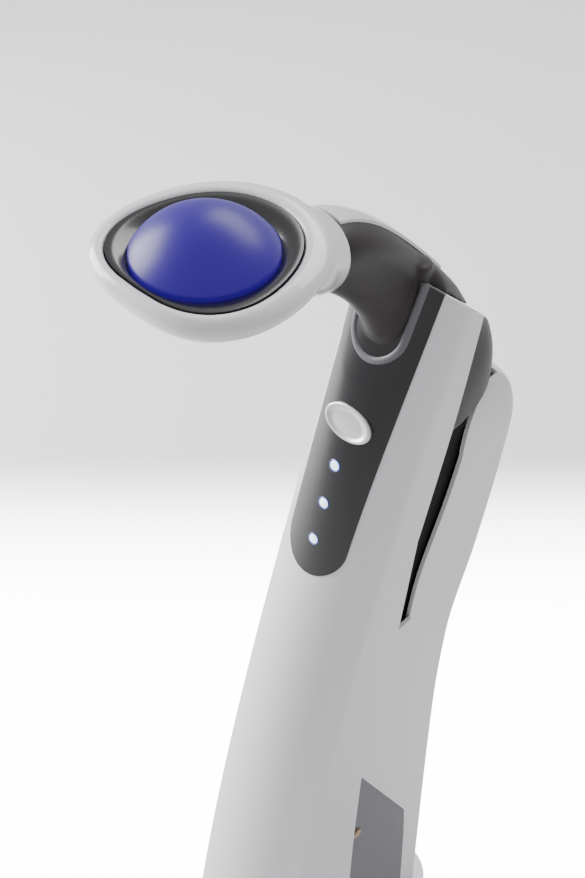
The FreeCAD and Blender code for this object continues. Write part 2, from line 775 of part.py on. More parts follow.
BOARD_EDGE = BADGE + UP_ARM * (BOARD_BOTTOM - 0.4) + OUT_ARM * (BOARD_OUT + 0.8)
HARNESS_POINTS = [BOARD_EDGE, Vector(0, 13, 438), Vector(0, 5, 402), Vector(0, -11, 356),
                  Vector(0, -29, 292), Vector(0, -44, 222), Vector(0, -52, 150),
                  Vector(0, -54, 84), Vector(0, -52, 30)]


def make_harness():
    harness = tube_along(HARNESS_POINTS, dim("wire_radius"))
    shaped("arm_harness", harness)
    body = Part.makeBox(20, 16, 16, Vector(CABLE_X - 10, CABLE_Y - 8, FOOT_TOP))
    socket = Part.makeBox(14, 10, 10, Vector(CABLE_X - 7, CABLE_Y - 5, FOOT_TOP))
    neck = Part.makeCylinder(4, 4, Vector(CABLE_X, CABLE_Y, FOOT_TOP + 16))
    bore = Part.makeCylinder(dim("wire_radius") + 0.05, 10, Vector(CABLE_X, CABLE_Y, FOOT_TOP + 15))
    shaped("base_connector", body.fuse(neck).cut(socket).cut(bore))
    pins = []
    for x in (-4.5, -1.5, 1.5, 4.5):
        for y in (-2, 2):
            low = Vector(CABLE_X + x, CABLE_Y + y, FOOT_TOP + 2.5)
            pins.append(Part.makeCylinder(0.5, 7.5, low))
    shaped("connector_pins", Part.makeCompound(pins))


# ---------------------------------------------------------------- stalk pivot
def cross_cylinder(radius, start_x, end_x, y=PIVOT_Y, z=PIVOT_Z):
    return Part.makeCylinder(radius, end_x - start_x, Vector(start_x, y, z), Vector(1, 0, 0))


def coil(pitch, height, radius, wire_radius, runs_per_turn):
    """An upright spring wound from short straight runs."""
    points = []
    for step in range(round(height / pitch * runs_per_turn) + 1):
        turn = step / runs_per_turn
        angle = 2 * math.pi * turn
        points.append(Vector(radius * math.cos(angle), radius * math.sin(angle), pitch * turn))
    ring = Part.Wire(Part.makeCircle(wire_radius, points[0], points[1] - points[0]))
    return Part.makePolygon(points).makePipeShell([ring], True, True, 1)


def make_pivot():
    shaft_end = CHEEK_OUTER + 2.5
    shaft = cross_rod("ShaftRod", "Sizes.shaft_radius", 2 * shaft_end, 0, PIVOT_Y, PIVOT_Z)
    keep(shaft, "pivot_shaft")
    for side, name in ((1, "pivot_bush_left"), (-1, "pivot_bush_right")):
        middle = side * (CHEEK_INNER + CHEEK_OUTER) / 2
        sleeve = cross_rod(name + "Sleeve", "Sizes.bush_radius", "Sizes.cheek_thick",
                           middle, PIVOT_Y, PIVOT_Z)
        flange = cross_rod(name + "Flange", "Sizes.bush_radius + 1.5", 1,
                           side * (CHEEK_OUTER + 0.5), PIVOT_Y, PIVOT_Z)
        bore = cross_rod(name + "Bore", "Sizes.shaft_radius + Sizes.shaft_fit", 30,
                         middle, PIVOT_Y, PIVOT_Z)
        keep(cut(name + "Done", fuse(name + "Blank", sleeve, flange), bore), name)
    clips = []
    for side in (-1, 1):
        start = side * (CHEEK_OUTER + 1.7)
        ring = cross_cylinder(6.2, min(start, start - side * -0.6), max(start, start + side * 0.6))
        clips.append(ring.cut(cross_cylinder(4.0, -40, 40)))
    shaped("shaft_clips", Part.makeCompound(clips))
    springs = []
    for side in (-1, 1):
        spring = coil(1.1, 5.5, 6.0, 0.45, 20)
        spring.Placement = Placement(Vector(side * 11.6 - 2.75, PIVOT_Y, PIVOT_Z),
                                     Rotation(Vector(0, 1, 0), 90))
        springs.append(spring)
    shaped("return_springs", Part.makeCompound(springs))
    stops = []
    for side in (-1, 1):
        y = PIVOT_Y + side * 7.9
        stops.append(Part.makeBox(2 * CHEEK_INNER, 2.6, 9, Vector(-CHEEK_INNER, y - 1.3, 570)))
    shaped("tilt_stops", Part.makeCompound(stops))


def make_sensor():
    magnet = cross_rod("MagnetDisc", 4, 2, CHEEK_OUTER + 3.5, PIVOT_Y, PIVOT_Z)
    keep(magnet, "sensor_magnet")
    shelf = box("SensorShelf", 8.2, 12, 2, CHEEK_OUTER + 4.1, PIVOT_Y, 566)
    flange = box("SensorFlange", 2, 12, 12, CHEEK_OUTER + 1, PIVOT_Y, 556)
    keep(fuse("SensorBracket", shelf, flange), "sensor_bracket")
    board = box("SensorBoard", 1.4, 14, 30, CHEEK_OUTER + 6.4, PIVOT_Y, 568)
    keep(board, "angle_sensor")


# ---------------------------------------------------------------- stalk
STALK = {
    # name: centre y, centre z, forward tilt of the axis, half width, half depth
    "root": (91, 570, 0, 26, 29), "base": (91, 592, 6, 27, 29),
    "bend": (73, 622, 32, 24.5, 23), "middle": (54, 647, 52, 21, 19.8),
    "collar": (25, 674, 62, 20, 18.0), "tip": (0, 688, 74, 17, 11),
}
CORE = {
    "hub": (86, 590, 3, 7.6, 8), "bend": (72, 626, 34, 8, 8), "middle": (52, 649, 52, 8, 8),
    "collar": (25, 675, 62, 8, 7), "tip": (-4, 690, 74, 8, 5), "head": (-47, 697.5, 90, 9, 3.4),
}


def oval_ring(spot, grow=0.0):
    y, z, tilt, half_x, half_deep = spot
    tilt = math.radians(tilt)
    across = Vector(0, math.cos(tilt), math.sin(tilt))
    points = []
    for step in range(16):
        angle = 2 * math.pi * step / 16
        side = Vector((half_x + grow) * math.sin(angle), 0, 0)
        deep = across * ((half_deep + grow) * math.cos(angle))
        points.append(Vector(0, y, z) + side + deep)
    return Part.Wire(smooth(points, True))


def stalk_solid(grow=0.0):
    return loft([oval_ring(spot, grow) for spot in STALK.values()])


def core_solid(grow=0.0):
    return loft([oval_ring(spot, grow) for spot in CORE.values()])


HEAD_Y = dim("head_y")
HEAD_Z = dim("head_height")
stalk_outer = stalk_solid()


def make_stalk_core():
    hub = cross_cylinder(dim("hub_radius"), -dim("hub_half"), dim("hub_half"))
    tail = Part.makeBox(10, 8, 18, Vector(-5, PIVOT_Y - 4, 568))
    flange = Part.makeCylinder(14, 3, Vector(0, HEAD_Y, HEAD_Z + FRAME_LOW - 3))
    core = core_solid().fuse(hub).fuse(tail).fuse(flange)
    core = core.cut(cross_cylinder(dim("shaft_radius"), -40, 40))
    core = core.cut(stalk_cable_tube(dim("wire_radius") + 0.2))
    for x, y in HEAD_SCREWS:
        core = core.cut(Part.makeCylinder(1.3, 30, Vector(x, y, HEAD_Z - 30)))
    shaped("stalk_core", max(core.Solids, key=lambda s: s.Volume))


CABLE_POINTS = [Vector(0, -24, 696), Vector(0, 2, 687.5), Vector(0, 26, 674), Vector(0, 50, 652),
                Vector(0, 70, 630)]
HEAD_SCREWS = [(9.5, HEAD_Y + 4), (-9.5, HEAD_Y + 4), (0, HEAD_Y - 10)]


def stalk_cable_tube(radius):
    return tube_along(CABLE_POINTS, radius)


TILT_LIMIT = 5.3


def socket_walls():
    """The socket's collar and lip, a little larger than they are."""
    opening = u_prism(LOBE_BOTTOM + 0.5, 11.1, 14.6)
    above = beyond(SHOULDER_POINT + SHOULDER_NORMAL * 0.4, SHOULDER_NORMAL)
    surround = u_prism(COLLAR_BOTTOM - 12, dim("panel_half") + 1, dim("panel_half") + 1.5)
    return front_patch(2.4, 5.4, surround).cut(opening).cut(above)


def make_stalk_skin():
    above = beyond(SHOULDER_POINT + SHOULDER_NORMAL * 5.4, SHOULDER_NORMAL)
    lobe = u_prism(LOBE_BOTTOM + 4.0, 10.7, 14.0, inward=-17.0, outward=30.0)
    behind_collar = beyond(COLLAR_CUT, COLLAR_NORMAL)
    arm_room = front_solid(3.0, 100).cut(above).cut(lobe)
    piece = stalk_outer.cut(arm_room).cut(behind_collar).cut(core_solid())
    piece = piece.cut(cross_cylinder(17.0, -23, 23))
    piece = piece.cut(Part.makeBox(44, 60, 60, Vector(-22, PIVOT_Y - 14, 545)))
    for step in range(-3, 4):
        walls = socket_walls()
        walls.rotate(Vector(0, PIVOT_Y, PIVOT_Z), Vector(1, 0, 0), step * TILT_LIMIT / 3)
        piece = piece.cut(walls)
    shaped("stalk_skin", max(piece.Solids, key=lambda s: s.Volume))


COLLAR_CUT = Vector(0, 12, 682)
COLLAR_NORMAL = Vector(0, -math.sin(math.radians(68)), math.cos(math.radians(68)))


def make_spine_cover():
    """Thin strip along the ridge of the stalk, narrowing to the rear."""
    strip_plan = [Vector(-8, 20, 600), Vector(8, 20, 600), Vector(3, 100, 600), Vector(-3, 100, 600)]
    face = Part.Face(Part.makePolygon(strip_plan + strip_plan[:1]))
    plan = face.extrude(Vector(0, 0, 140))
    upper = beyond(Vector(0, 54, 650), Vector(0, 0.66, 0.75))
    strip = stalk_solid(1.3).cut(stalk_outer).common(plan).common(upper)
    strip = strip.cut(beyond(COLLAR_CUT + COLLAR_NORMAL * 0.2, COLLAR_NORMAL))
    strip = strip.common(beyond(SHOULDER_POINT + SHOULDER_NORMAL * 4, SHOULDER_NORMAL))
    shaped("spine_cover", max(strip.Solids, key=lambda s: s.Volume))


# ---------------------------------------------------------------- head
# The head's plan is a rounded shield: radius against the angle from the front.
PLAN_HARMONICS = (-1.4, -0.4, -1.7, -0.6)


def plan_radius(angle):
    radius = dim("bezel_radius")
    for order, size in enumerate(PLAN_HARMONICS):
        radius += size * math.cos((order + 1) * angle)
    return radius


def head_ring(grow, z):
    """Plan outline moved out by grow, and by more than twice that at the rear."""
    points = []
    for step in range(24):
        angle = 2 * math.pi * step / 24
        rearness = (1 - math.cos(angle)) / 2
        radius = plan_radius(angle) + grow * (1 + 1.2 * rearness * (grow > 0))
        y = HEAD_Y - radius * math.cos(angle)
        points.append(Vector(radius * math.sin(angle), y, HEAD_Z + z))
    return Part.Wire(smooth(points, True))


def head_prism(grow, low, high):
    return Part.Face(head_ring(grow, low)).extrude(Vector(0, 0, high - low))


def head_cylinder(radius, low, high, x=0.0, y=0.0):
    return Part.makeCylinder(radius, high - low, Vector(x, HEAD_Y + y, HEAD_Z + low))


def make_head_rim():
    rim_out = dim("rim_width")
    rim = loft([head_ring(rim_out - 1.2, -9), head_ring(rim_out, -4.5), head_ring(rim_out - 1, -1),
                head_ring(rim_out - 4, 0.8)])
    rim = rim.cut(head_prism(0.0, -12, 5))
    shaped("head_rim", rim)


def bowl(shrink, lift):
    rim_out = dim("rim_width")
    return loft([head_ring(rim_out - 1.2 - shrink, -9.3 + lift * 2),
                 head_ring(-0.5 - shrink, -14 + lift), head_ring(-8 - shrink, -20.5 + lift),
                 head_ring(-18 - shrink, -25.5 + lift)])


HEAD_COLLAR = {
    "rear": (12, 682, 68, 21.5, 17.5), "middle": (-4, 688, 74, 22, 15),
    "front": (-24, 695, 82, 20, 9),
}


def make_head_base():
    outer = bowl(0, 0)
    collar = loft([oval_ring(spot) for spot in HEAD_COLLAR.values()])
    roof = beyond(Vector(0, HEAD_Y, HEAD_Z - 9.3), Vector(0, 0, 1))
    rim_block = head_prism(dim("rim_width") + 0.3, -9.3, 8)
    shell = outer.fuse(collar).cut(rim_block)
    shell = shell.cut(bowl(2.4, 2.4)).cut(stalk_outer).cut(core_solid())
    shell = shell.cut(roof.common(head_prism(dim("rim_width") - 2, -9.3, 30)))
    shaped("head_base", max(shell.Solids, key=lambda s: s.Volume))


def make_bezel():
    ring = head_prism(-0.2, -7, -0.2).cut(head_cylinder(dim("dome_radius") + dim("dome_gap"), -12, 8))
    dish_low = Vector(0, HEAD_Y, HEAD_Z - 2.4)
    dish = Part.makeCone(dim("dome_radius"), dim("bezel_radius") + 3, 2.6, dish_low)
    ring = ring.cut(dish)
    shaped("bezel_ring", ring)


DOME_BASE = -0.7


def cap(radius, rise, base):
    """Spherical cap standing on a height above the head plane."""
    ball = (radius * radius + rise * rise) / (2 * rise)
    sphere = Part.makeSphere(ball, Vector(0, HEAD_Y, HEAD_Z + base + rise - ball))
    return sphere.common(head_cylinder(radius, base, base + rise + 1))


def make_dome():
    radius = dim("dome_radius")
    rise = dim("dome_rise")
    thick = dim("dome_wall")
    outer = cap(radius, rise, DOME_BASE).fuse(head_cylinder(radius, SKIRT, DOME_BASE))
    inner = cap(radius - thick, rise - thick, DOME_BASE)
    inner = inner.fuse(head_cylinder(radius - thick, SKIRT - 1, DOME_BASE))
    shaped("palm_dome", outer.cut(inner).removeSplitter())


FRAME_LOW = -11.5
FRAME_HIGH = -9.5
CARRIER_THICK = 1.6
SKIRT = FRAME_HIGH + dim("knob_travel") + 1.4 + CARRIER_THICK
PIN_ANGLES = (90, 210, 330)


def pin_spot(angle):
    circle = dim("pin_circle")
    return circle * math.cos(math.radians(angle)), circle * math.sin(math.radians(angle))


def make_knob_mechanism():
    carrier = head_cylinder(28.6, SKIRT - CARRIER_THICK, SKIRT)
    carrier = carrier.cut(head_cylinder(24.8, SKIRT - 3, SKIRT + 1))
    clips = []
    springs = []
    plate = head_prism(-4.3, FRAME_LOW, FRAME_HIGH)
    for angle in PIN_ANGLES:
        x, y = pin_spot(angle)
        carrier = carrier.fuse(head_cylinder(dim("pin_radius"), -13.6, SKIRT - 1, x, y))
        plate = plate.cut(head_cylinder(dim("pin_radius") + 0.35, -16, -8, x, y))
        clips.append(head_cylinder(2.6, -12.6, -11.8, x, y).cut(head_cylinder(1.5, -14, -11, x, y)))
        spring = coil(0.8, 2.3, 2.1, 0.2, 16)
        spring.Placement = place(x, HEAD_Y + y, HEAD_Z + FRAME_HIGH + 0.28)
        springs.append(spring)
    for x, y in HEAD_SCREWS:
        plate = plate.cut(Part.makeCylinder(1.3, 30, Vector(x, y, HEAD_Z - 20)))
        plate = plate.cut(Part.makeCylinder(2.4, 5, Vector(x, y, HEAD_Z + FRAME_HIGH - 1.2)))
    plate = plate.cut(head_cylinder(2.6, -16, -8, 0, 16))
    shaped("knob_carrier", carrier)
    shaped("carrier_clips", Part.makeCompound(clips))
    shaped("knob_springs", Part.makeCompound(springs))
    shaped("head_chassis", plate)


BOARD_LOW = -8.6


def make_head_electronics():
    board = head_cylinder(22, BOARD_LOW, BOARD_LOW + 1.4)
    posts = []
    for angle in (90, 210, 330):
        x = 19 * math.cos(math.radians(angle))
        y = 19 * math.sin(math.radians(angle))
        board = board.cut(head_cylinder(1.25, -9, -5, x, y))
        post = head_cylinder(2.2, FRAME_HIGH, BOARD_LOW, x, y)
        posts.append(post.cut(head_cylinder(1.25, -10, -7, x, y)))
    shaped("knob_light_board", board)
    shaped("board_posts", Part.makeCompound(posts))
    chips = []
    for number in range(6):
        angle = math.radians(60 * number)
        x = 12 * math.cos(angle)
        y = HEAD_Y + 12 * math.sin(angle)
        corner = Vector(x - 1.7, y - 1.7, HEAD_Z + BOARD_LOW + 1.4)
        chips.append(Part.makeBox(3.4, 3.4, 1.1, corner))
    shaped("knob_leds", Part.makeCompound(chips))
    diffuser = head_cylinder(24.0, -5.2, -4.0)
    for angle in (0, 120, 240):
        x = 23.1 * math.cos(math.radians(angle))
        y = 23.1 * math.sin(math.radians(angle))
        diffuser = diffuser.fuse(head_cylinder(0.8, FRAME_HIGH, -4.5, x, y))
    shaped("light_diffuser", diffuser)
    switch_x = dim("pin_circle")
    switch = Part.makeBox(3.6, 5, 0.8, Vector(switch_x - 1.8, HEAD_Y - 2.5, HEAD_Z + FRAME_HIGH))
    shaped("press_switch", switch)


def make_head_screws():
    screws = []
    for x, y in HEAD_SCREWS:
        shank = Part.makeCylinder(1.2, 5.0, Vector(x, y, HEAD_Z + FRAME_HIGH - 5.0))
        head = Part.makeCylinder(2.3, 1.15, Vector(x, y, HEAD_Z + FRAME_HIGH - 1.15))
        screws.append(shank.fuse(head))
    shaped("head_screws", Part.makeCompound(screws))


# ---------------------------------------------------------------- build
BUILDERS = (
    make_foot, make_frame_bolts, make_arm_frame, make_ribs, make_front_shell, make_rear_spacers,
    make_rear_shell, make_slot_liner, make_shoulder_skin, make_flank_plates, make_side_studs,
    make_control_panel, make_socket, make_emblem, make_lenses, make_indicator_board,
    make_board_bracket, make_harness, make_pivot, make_sensor, make_stalk_core, make_stalk_skin,
    make_spine_cover, make_head_rim, make_head_base, make_bezel, make_dome, make_knob_mechanism,
    make_head_electronics, make_head_screws,
)

for build in BUILDERS:
    build()
shaped("stalk_cable", stalk_cable_tube(dim("wire_radius") - 0.1))
doc.recompute()

faults = []
for obj in doc.Objects:
    if "Invalid" in obj.State or "Error" in obj.State:
        faults.append("%s is %s" % (obj.Name, obj.State))
for obj in parts:
    if obj.Shape.isNull() or not obj.Shape.isValid() or obj.Shape.Volume <= 0:
        faults.append("%s has no valid shape" % obj.Label)
    print("%-22s solids %d volume %.0f" % (obj.Label, len(obj.Shape.Solids), obj.Shape.Volume))
if faults:
    raise RuntimeError("; ".join(faults))

os.makedirs("parts", exist_ok=True)
for obj in parts:
    obj.Shape.exportStep("parts/%s.step" % obj.Label)
print("wrote", len(parts), "parts")
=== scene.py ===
import json
import math

import bmesh
import bpy
from mathutils import Matrix, Vector


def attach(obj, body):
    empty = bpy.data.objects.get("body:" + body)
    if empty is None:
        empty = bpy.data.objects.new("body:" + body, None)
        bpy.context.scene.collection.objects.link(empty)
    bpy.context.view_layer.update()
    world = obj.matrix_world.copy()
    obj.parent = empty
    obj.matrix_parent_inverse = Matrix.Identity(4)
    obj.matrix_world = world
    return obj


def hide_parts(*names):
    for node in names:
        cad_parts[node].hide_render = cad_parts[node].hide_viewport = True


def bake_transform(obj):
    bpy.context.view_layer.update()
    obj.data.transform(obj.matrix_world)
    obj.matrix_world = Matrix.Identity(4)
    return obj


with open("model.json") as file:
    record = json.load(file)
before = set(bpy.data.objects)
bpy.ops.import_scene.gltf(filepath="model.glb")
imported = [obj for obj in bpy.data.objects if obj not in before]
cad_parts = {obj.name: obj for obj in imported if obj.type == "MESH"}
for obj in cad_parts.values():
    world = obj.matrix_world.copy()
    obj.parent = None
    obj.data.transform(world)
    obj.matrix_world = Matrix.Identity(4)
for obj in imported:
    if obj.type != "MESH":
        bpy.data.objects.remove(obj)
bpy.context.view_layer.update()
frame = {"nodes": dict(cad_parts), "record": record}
NODES = frame["nodes"]

# All outlines are worked in millimetres in the frame of the part: +Z up,
# -Y forward, X across, the origin under the middle of the foot.
MM = 0.001

# ------------------------------------------------------------------ camera
CAMERA_SPOT = Vector((280.3, -285.2, 984.4)) * MM
CAMERA_TURN = math.radians(44.5)
CAMERA_DROP = math.radians(45.5)
CAMERA_LENS = 49.2


def aim_camera():
    data = bpy.data.cameras.new("portrait_camera")
    data.lens = CAMERA_LENS
    data.dof.use_dof = False
    camera = bpy.data.objects.new("portrait_camera", data)
    bpy.context.scene.collection.objects.link(camera)
    flat = math.cos(CAMERA_DROP)
    back = Vector((math.sin(CAMERA_TURN) * flat, -math.cos(CAMERA_TURN) * flat,
                   math.sin(CAMERA_DROP)))
    side = Vector((math.cos(CAMERA_TURN), math.sin(CAMERA_TURN), 0))
    up = back.cross(side)
    camera.matrix_world = Matrix((
        (side.x, up.x, back.x, CAMERA_SPOT.x),
        (side.y, up.y, back.y, CAMERA_SPOT.y),
        (side.z, up.z, back.z, CAMERA_SPOT.z),
        (0, 0, 0, 1)))
    bpy.context.scene.camera = camera


aim_camera()

# ------------------------------------------------------------------ outlines
LEAN = math.radians(19.3)
SWEEP = 2350.0
BADGE = Vector((0, 40, 560))
UP_ARM = Vector((0, math.sin(LEAN), math.cos(LEAN)))
OUT_ARM = Vector((0, -math.cos(LEAN), math.sin(LEAN)))
FOOT_TOP = 10.0
FRONT_DEPTH = 28.0
SHELL_WALL = 2.5
SHOULDER_POINT = Vector((0, 79, 632))
SHOULDER_NORMAL = Vector((0, 0.687, 0.725))
# height, seam behind the front shell, front edge and back of the rear shell
STATIONS = ((10, 13, 81, 97), (130, 16, 80, 98), (275, 26, 63, 100), (350, 34, 61, 106),
            (420, 48, 70, 126), (490, 69, 95, 141), (560, 88, 115, 150), (670, 108, 145, 178))
SEAM, EDGE, BACK = 1, 2, 3


def station(kind, z):
    """A side-view line read at a height: a smooth cubic without overshoot."""
    low = 0
    while low < len(STATIONS) - 2 and z > STATIONS[low + 1][0]:
        low += 1

    def slope(number):
        steps = []
        for first in (number - 1, number):
            first = min(max(first, 0), len(STATIONS) - 2)
            rise = STATIONS[first + 1][kind] - STATIONS[first][kind]
            steps.append(rise / (STATIONS[first + 1][0] - STATIONS[first][0]))
        if steps[0] * steps[1] <= 0:
            return 0.0
        return 2 * steps[0] * steps[1] / (steps[0] + steps[1])

    span = STATIONS[low + 1][0] - STATIONS[low][0]
    share = (z - STATIONS[low][0]) / span
    rest = 1 - share
    start = STATIONS[low][kind] * (1 + 2 * share) * rest ** 2
    end = STATIONS[low + 1][kind] * (1 + 2 * rest) * share ** 2
    turn = slope(low) * share * rest ** 2 - slope(low + 1) * rest * share ** 2
    return start + end + span * turn


def front_y(z):
    drop = BADGE.z - z
    return BADGE.y - drop * math.tan(LEAN) + drop * drop / (2 * SWEEP)


def half_width(z):
    share = max(0.0, BADGE.z - z) / (BADGE.z - FOOT_TOP)
    return 33 + 14 * share ** 1.5


def skin_y(x, z, grow=0.0):
    """The arm's front surface over a point across and up."""
    half = half_width(z) + grow
    round_part = math.sqrt(max(0.0, 1 - (x / half) ** 2))
    return front_y(z) + FRONT_DEPTH - (FRONT_DEPTH + grow) * round_part


def shoulder_height(y):
    """Height of the arm's sloping top."""
    slope = SHOULDER_NORMAL.y / SHOULDER_NORMAL.z
    return SHOULDER_POINT.z - slope * (y - SHOULDER_POINT.y)


# Rounds that settle a point's height against the sloping top.
SETTLE = 8


def arm_spot(x, up, proud):
    """A point on the front skin, kept under the sloping top; up runs from the badge."""
    z = BADGE.z + up * UP_ARM.z
    for _ in range(SETTLE):
        z = min(BADGE.z + up * UP_ARM.z, shoulder_height(skin_y(x, z, proud)))
    return Vector((x, skin_y(x, z, proud), z))


def ease(value, low, high):
    """Rises smoothly from 0 at low to 1 at high."""
    share = min(max((value - low) / (high - low), 0.0), 1.0)
    return share * share * (3 - 2 * share)


# ------------------------------------------------------------------ piece making
SHARP_EDGE = 40
FLANK_SHARE = 0.18


def finish_piece(name, bm, smooth=True):
    mesh = bpy.data.meshes.new(name)
    bm.to_mesh(mesh)
    bm.free()
    piece = bpy.data.objects.new(name, mesh)
    bpy.context.scene.collection.objects.link(piece)
    for face in mesh.polygons:
        face.use_smooth = smooth
    return piece


def patch(across, along, surface, joined=False):
    """A grid bent to a surface of two shares, each from 0 to 1, in millimetres."""
    bm = bmesh.new()
    bmesh.ops.create_grid(bm, x_segments=across, y_segments=along, size=1.0)
    for vert in bm.verts:
        vert.co = surface((vert.co.x + 1) / 2, (vert.co.y + 1) / 2) * MM
    if joined:
        bmesh.ops.remove_doubles(bm, verts=bm.verts, dist=1e-5)
        bmesh.ops.recalc_face_normals(bm, faces=bm.faces)
    return bm


def close_ends(bm):
    open_edges = [e for e in bm.edges if e.is_boundary]
    bmesh.ops.holes_fill(bm, edges=open_edges)
    bmesh.ops.recalc_face_normals(bm, faces=bm.faces)


def face_sheet(piece, towards=None):
    """Turns an open sheet's faces towards a direction, or else away from its middle."""
    mesh = piece.data
    middle = sum((v.co for v in mesh.vertices), Vector()) / len(mesh.vertices)
    agreement = 0.0
    for face in mesh.polygons:
        wanted = face.center - middle if towards is None else Vector(towards)
        agreement += face.normal.dot(wanted) * face.area
    if agreement < 0:
        mesh.flip_normals()


def thicken(piece, depth, rounding):
    """Gives a sheet its wall, inwards, and rounds the wall's edges."""
    wall = piece.modifiers.new("wall", "SOLIDIFY")
    wall.thickness = depth * MM
    wall.offset = -1.0
    wall.use_even_offset = True
    edge = piece.modifiers.new("edge", "BEVEL")
    edge.width = rounding * MM
    edge.segments = 3
    edge.limit_method = "ANGLE"
    edge.angle_limit = math.radians(SHARP_EDGE)
    edge.harden_normals = True


def apply_modifiers(piece):
    graph = bpy.context.evaluated_depsgraph_get()
    mesh = bpy.data.meshes.new_from_object(piece.evaluated_get(graph))
    piece.modifiers.clear()
    piece.data = mesh


def melt_together(piece, voxel, passes):
    """Joins the bodies of a piece into one soft skin."""
    remesh = piece.modifiers.new("skin", "REMESH")
    remesh.mode = "VOXEL"
    remesh.voxel_size = voxel * MM
    apply_modifiers(piece)
    bm = bmesh.new()
    bm.from_mesh(piece.data)
    for _ in range(passes):
        bmesh.ops.smooth_vert(bm, verts=bm.verts, factor=0.5, use_axis_x=True,
                              use_axis_y=True, use_axis_z=True)
    bm.to_mesh(piece.data)
    bm.free()
    for face in piece.data.polygons:
        face.use_smooth = True


def node_copy(bm, node):
    """Adds a CAD node's surface, its loose triangles merged, to a mesh."""
    mesh = NODES[node].data.copy()
    bm.from_mesh(mesh)
    bpy.data.meshes.remove(mesh)
    bmesh.ops.remove_doubles(bm, verts=bm.verts, dist=2e-6)


def add_bm(bm, other):
    mesh = bpy.data.meshes.new("passing")
    other.to_mesh(mesh)
    other.free()
    bm.from_mesh(mesh)
    bpy.data.meshes.remove(mesh)


def arch_spot(share, half, tip, spring, end):
    """A point on a U section: flank, half ellipse, flank."""
    if share < FLANK_SHARE:
        return -half, end + (spring - end) * share / FLANK_SHARE
    if share > 1 - FLANK_SHARE:
        return half, end + (spring - end) * (1 - share) / FLANK_SHARE
    angle = math.pi * ((share - FLANK_SHARE) / (1 - 2 * FLANK_SHARE) - 0.5)
    return half * math.sin(angle), spring + (tip - spring) * math.cos(angle)


# ------------------------------------------------------------------ materials
def surface_detail():
    """Shared effect: fine grain as bump, with slow changes of roughness and shade."""
    group = bpy.data.node_groups.new("surface_detail", "ShaderNodeTree")
    face = group.interface
    for name, value in (("Grain Scale", 900.0), ("Grain Depth", 0.05), ("Patch Scale", 18.0),
                        ("Roughness", 0.4), ("Roughness Change", 0.05)):
        socket = face.new_socket(name, in_out="INPUT", socket_type="NodeSocketFloat")
        socket.default_value = value
    face.new_socket("Shade", in_out="OUTPUT", socket_type="NodeSocketFloat")
    face.new_socket("Roughness", in_out="OUTPUT", socket_type="NodeSocketFloat")
    face.new_socket("Normal", in_out="OUTPUT", socket_type="NodeSocketVector")
    nodes, links = group.nodes, group.links
    entry = nodes.new("NodeGroupInput")
    leave = nodes.new("NodeGroupOutput")
    place = nodes.new("ShaderNodeTexCoord")
    grain = nodes.new("ShaderNodeTexNoise")
    grain.inputs["Detail"].default_value = 3.0
    bump = nodes.new("ShaderNodeBump")
    bump.inputs["Distance"].default_value = 0.0002
    slow = nodes.new("ShaderNodeTexNoise")
    slow.inputs["Detail"].default_value = 4.0
    centred = nodes.new("ShaderNodeMath")
    centred.operation = "SUBTRACT"
    centred.inputs[1].default_value = 0.5
    spread = nodes.new("ShaderNodeMath")
    spread.operation = "MULTIPLY_ADD"
    links.new(place.outputs["Object"], grain.inputs["Vector"])
    links.new(place.outputs["Object"], slow.inputs["Vector"])
    links.new(entry.outputs["Grain Scale"], grain.inputs["Scale"])
    links.new(entry.outputs["Patch Scale"], slow.inputs["Scale"])
    links.new(grain.outputs["Fac"], bump.inputs["Height"])
    links.new(entry.outputs["Grain Depth"], bump.inputs["Strength"])
    links.new(slow.outputs["Fac"], centred.inputs[0])
    links.new(centred.outputs[0], spread.inputs[0])
    links.new(entry.outputs["Roughness Change"], spread.inputs[1])
    links.new(entry.outputs["Roughness"], spread.inputs[2])
    links.new(slow.outputs["Fac"], leave.inputs["Shade"])
    links.new(spread.outputs[0], leave.inputs["Roughness"])
    links.new(bump.outputs["Normal"], leave.inputs["Normal"])
    return group


DETAIL = surface_detail()


def finish(name, light, dark, roughness, grain=(900.0, 0.05), change=0.06, metallic=0.0,
           coat=0.0, coat_roughness=0.05, glow=None, glow_strength=0.0, specular=0.5,
           sheen=0.0):
    """A Principled finish whose shade, roughness and bump vary over the surface."""
    material = bpy.data.materials.new(name)
    material.use_nodes = True
    nodes, links = material.node_tree.nodes, material.node_tree.links
    shader = nodes["Principled BSDF"]
    detail = nodes.new("ShaderNodeGroup")
    detail.node_tree = DETAIL
    detail.inputs["Grain Scale"].default_value = grain[0]
    detail.inputs["Grain Depth"].default_value = grain[1]
    detail.inputs["Roughness"].default_value = roughness
    detail.inputs["Roughness Change"].default_value = change
    tint = nodes.new("ShaderNodeMix")
    tint.data_type = "RGBA"
    tint.inputs[6].default_value = (*dark, 1)
    tint.inputs[7].default_value = (*light, 1)
    links.new(detail.outputs["Shade"], tint.inputs[0])
    links.new(tint.outputs[2], shader.inputs["Base Color"])
    links.new(detail.outputs["Roughness"], shader.inputs["Roughness"])
    links.new(detail.outputs["Normal"], shader.inputs["Normal"])
    shader.inputs["Metallic"].default_value = metallic
    shader.inputs["Specular IOR Level"].default_value = specular
    shader.inputs["Coat Weight"].default_value = coat
    shader.inputs["Coat Roughness"].default_value = coat_roughness
    shader.inputs["Sheen Weight"].default_value = sheen
    if glow:
        shader.inputs["Emission Color"].default_value = (*glow, 1)
        shader.inputs["Emission Strength"].default_value = glow_strength
    return material


